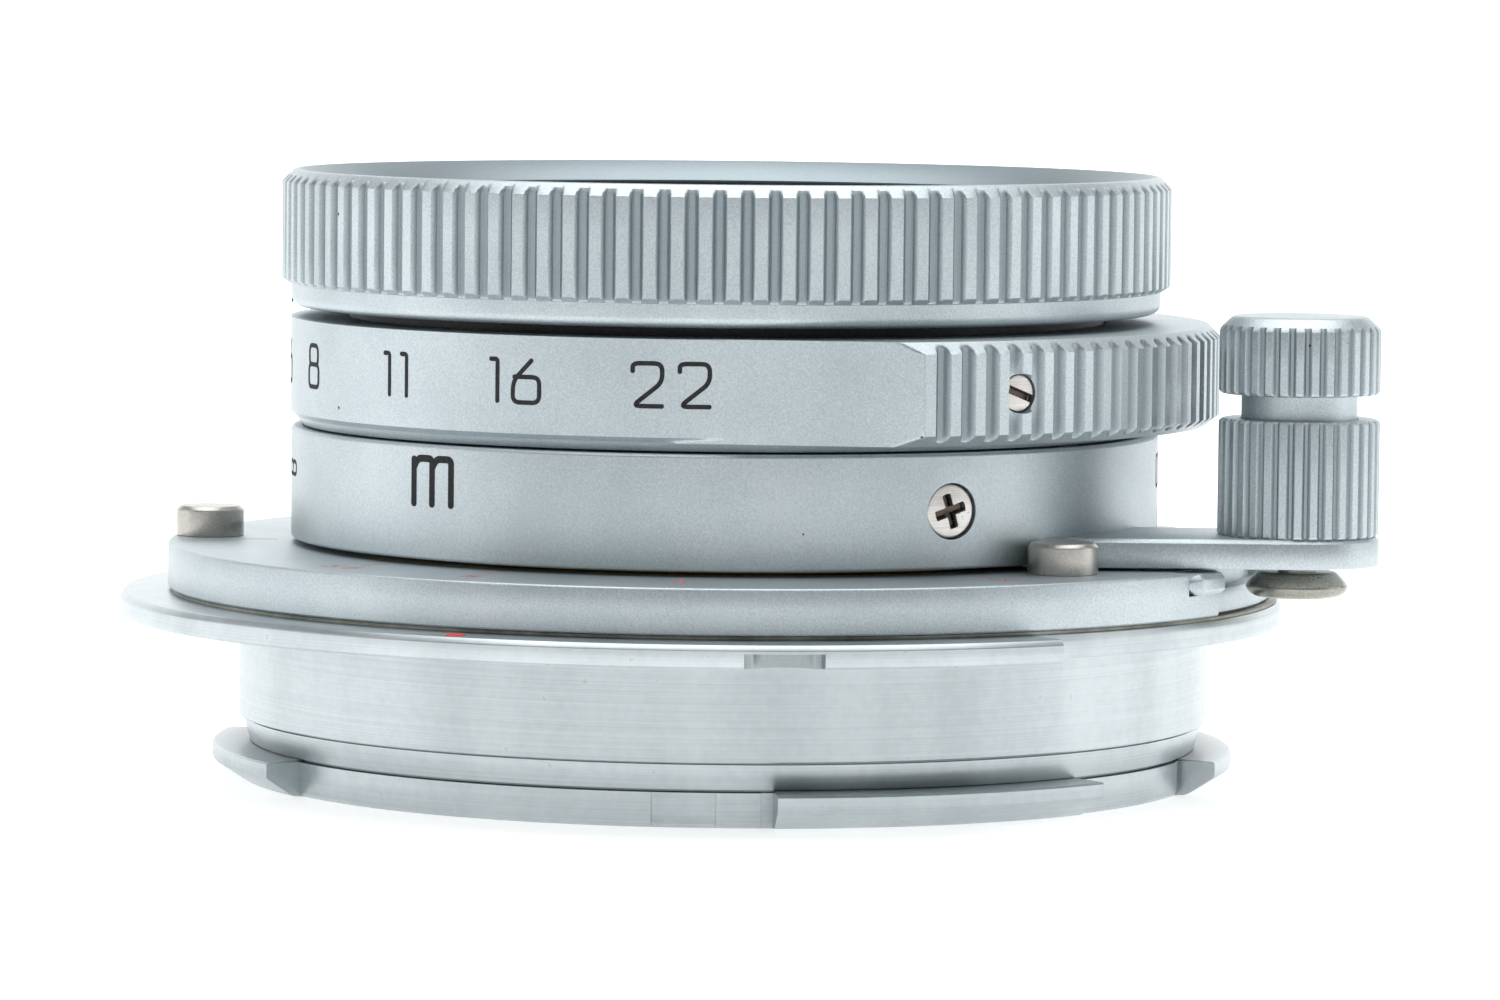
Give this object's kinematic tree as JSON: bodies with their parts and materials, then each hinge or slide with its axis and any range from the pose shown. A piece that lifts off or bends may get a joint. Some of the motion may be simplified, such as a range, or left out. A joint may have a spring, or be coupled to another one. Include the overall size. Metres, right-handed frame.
{
  "type": "bayonet-mount wide-angle camera lens",
  "caption": "Compact metal wide-angle lens with a bayonet mount, a knurled aperture ring, and a focus ring turned by a lever with a sprung lock knob.",
  "frame": {"origin": "on the optical axis, in the plane of the bayonet seat", "axes": "+Z along the optical axis to the front of the lens; the focus lever at its infinity stop stands towards +X; -Y is the side that shows the aperture numbers 8 to 22"},
  "size_m": [0.0532, 0.0518, 0.026],
  "materials": {
    "satin_silver": "bead-blasted clear anodised",
    "mount_metal": "turned satin chrome",
    "pin_nickel": "turned nickel",
    "lock_nickel": "tarnished nickel",
    "screw_steel": "bright steel",
    "spring_steel": "drawn wire",
    "shim_brass": "tarnished shim",
    "helicoid_brass": "lapped and greased",
    "black_anodised": "black anodised",
    "baffle_black": "dead matt black",
    "blade_black": "blued steel leaf",
    "index_red": "glossy red bead",
    "coated_glass": "anti-reflection coated"
  },
  "bodies": {
    "mount": {"bayonet_mount": "mount_metal", "mount_index": "index_red", "mount_screws": "screw_steel", "mount_shim": "shim_brass", "depth_scale_flange": "satin_silver", "near_stop_pin": "pin_nickel", "infinity_stop_pin": "pin_nickel", "infinity_catch": "satin_silver", "guide_sleeve": "black_anodised", "guide_keys": "helicoid_brass"},
    "focus": {"focus_ring": "satin_silver", "focus_ring_screws": "screw_steel", "focus_helicoid": "helicoid_brass", "helicoid_retainer": "helicoid_brass", "focus_lever": "satin_silver", "lever_screws": "screw_steel", "knob_barrel": "satin_silver"},
    "lock": {"lock_button": "satin_silver", "lock_plunger": "pin_nickel", "lock_disc": "lock_nickel", "lock_spring": "spring_steel"},
    "rangefinder": {"rangefinder_cam": "helicoid_brass"},
    "head": {"head_barrel": "black_anodised", "click_ball": "spring_steel", "click_spring": "spring_steel", "front_ring": "satin_silver", "front_cone": "baffle_black", "optic_barrel": "black_anodised", "front_cell": "black_anodised", "front_element": "coated_glass", "front_doublet_front": "coated_glass", "front_doublet_rear": "coated_glass", "front_retainer": "baffle_black", "iris_base": "black_anodised", "rear_cell": "black_anodised", "rear_doublet_front": "coated_glass", "rear_doublet_rear": "coated_glass", "rear_element": "coated_glass", "rear_retainer": "baffle_black"},
    "aperture": {"aperture_ring": "satin_silver", "aperture_set_screws": "screw_steel", "iris_drive_screw": "screw_steel", "iris_cam_ring": "black_anodised"},
    "blade_01": {"iris_blade_01": "blade_black"},
    "blade_02": {"iris_blade_02": "blade_black"},
    "blade_03": {"iris_blade_03": "blade_black"},
    "blade_04": {"iris_blade_04": "blade_black"},
    "blade_05": {"iris_blade_05": "blade_black"},
    "blade_06": {"iris_blade_06": "blade_black"},
    "blade_07": {"iris_blade_07": "blade_black"},
    "blade_08": {"iris_blade_08": "blade_black"},
    "blade_09": {"iris_blade_09": "blade_black"},
    "blade_10": {"iris_blade_10": "blade_black"}
  },
  "joints": [
    {"name": "focus_turn", "type": "hinge", "parent": "mount", "child": "focus", "pos_m": [0, 0, 0], "axis": [0, 0, 1], "range_deg": [0, 188.6]},
    {"name": "head_slide", "type": "slide", "parent": "mount", "child": "head", "axis": [0, 0, 1], "range_m": [0, 0.00081]},
    {"name": "rangefinder_slide", "type": "slide", "parent": "mount", "child": "rangefinder", "axis": [0, 0, 1], "range_m": [0, 0.00281]},
    {"name": "aperture_turn", "type": "hinge", "parent": "head", "child": "aperture", "pos_m": [0, 0, 0.0104], "axis": [0, 0, 1], "range_deg": [-81.7, 0]},
    {"name": "lock_press", "type": "slide", "parent": "focus", "child": "lock", "axis": [0, 0, -1], "range_m": [0, 0.0007], "stiffness_N_per_m": 600, "springref_m": -0.001, "deforming": ["lock_spring"]},
    {"name": "blade_turn_01", "type": "hinge", "parent": "head", "child": "blade_01", "pos_m": [0.0083, 0, 0.0026], "axis": [0, 0, 1], "range_deg": [-0.1, 13.2]},
    {"name": "blade_turn_02", "type": "hinge", "parent": "head", "child": "blade_02", "pos_m": [0.00671, 0.00488, 0.0026], "axis": [0, 0, 1], "range_deg": [-0.1, 13.2]},
    {"name": "blade_turn_03", "type": "hinge", "parent": "head", "child": "blade_03", "pos_m": [0.00256, 0.00789, 0.0026], "axis": [0, 0, 1], "range_deg": [-0.1, 13.2]},
    {"name": "blade_turn_04", "type": "hinge", "parent": "head", "child": "blade_04", "pos_m": [-0.00256, 0.00789, 0.0026], "axis": [0, 0, 1], "range_deg": [-0.1, 13.2]},
    {"name": "blade_turn_05", "type": "hinge", "parent": "head", "child": "blade_05", "pos_m": [-0.00671, 0.00488, 0.0026], "axis": [0, 0, 1], "range_deg": [-0.1, 13.2]},
    {"name": "blade_turn_06", "type": "hinge", "parent": "head", "child": "blade_06", "pos_m": [-0.0083, 0, 0.0026], "axis": [0, 0, 1], "range_deg": [-0.1, 13.2]},
    {"name": "blade_turn_07", "type": "hinge", "parent": "head", "child": "blade_07", "pos_m": [-0.00671, -0.00488, 0.0026], "axis": [0, 0, 1], "range_deg": [-0.1, 13.2]},
    {"name": "blade_turn_08", "type": "hinge", "parent": "head", "child": "blade_08", "pos_m": [-0.00256, -0.00789, 0.0026], "axis": [0, 0, 1], "range_deg": [-0.1, 13.2]},
    {"name": "blade_turn_09", "type": "hinge", "parent": "head", "child": "blade_09", "pos_m": [0.00256, -0.00789, 0.0026], "axis": [0, 0, 1], "range_deg": [-0.1, 13.2]},
    {"name": "blade_turn_10", "type": "hinge", "parent": "head", "child": "blade_10", "pos_m": [0.00671, -0.00488, 0.0026], "axis": [0, 0, 1], "range_deg": [-0.1, 13.2]}
  ],
  "couplings": [
    {"joint": "focus_turn", "follows": "head_slide", "rad_per_m": 4061.7},
    {"joint": "rangefinder_slide", "follows": "head_slide", "ratio": 3.4568},
    {"joint": "blade_turn_01", "follows": "aperture_turn", "ratio": -0.16034},
    {"joint": "blade_turn_02", "follows": "aperture_turn", "ratio": -0.16034},
    {"joint": "blade_turn_03", "follows": "aperture_turn", "ratio": -0.16034},
    {"joint": "blade_turn_04", "follows": "aperture_turn", "ratio": -0.16034},
    {"joint": "blade_turn_05", "follows": "aperture_turn", "ratio": -0.16034},
    {"joint": "blade_turn_06", "follows": "aperture_turn", "ratio": -0.16034},
    {"joint": "blade_turn_07", "follows": "aperture_turn", "ratio": -0.16034},
    {"joint": "blade_turn_08", "follows": "aperture_turn", "ratio": -0.16034},
    {"joint": "blade_turn_09", "follows": "aperture_turn", "ratio": -0.16034},
    {"joint": "blade_turn_10", "follows": "aperture_turn", "ratio": -0.16034}
  ]
}
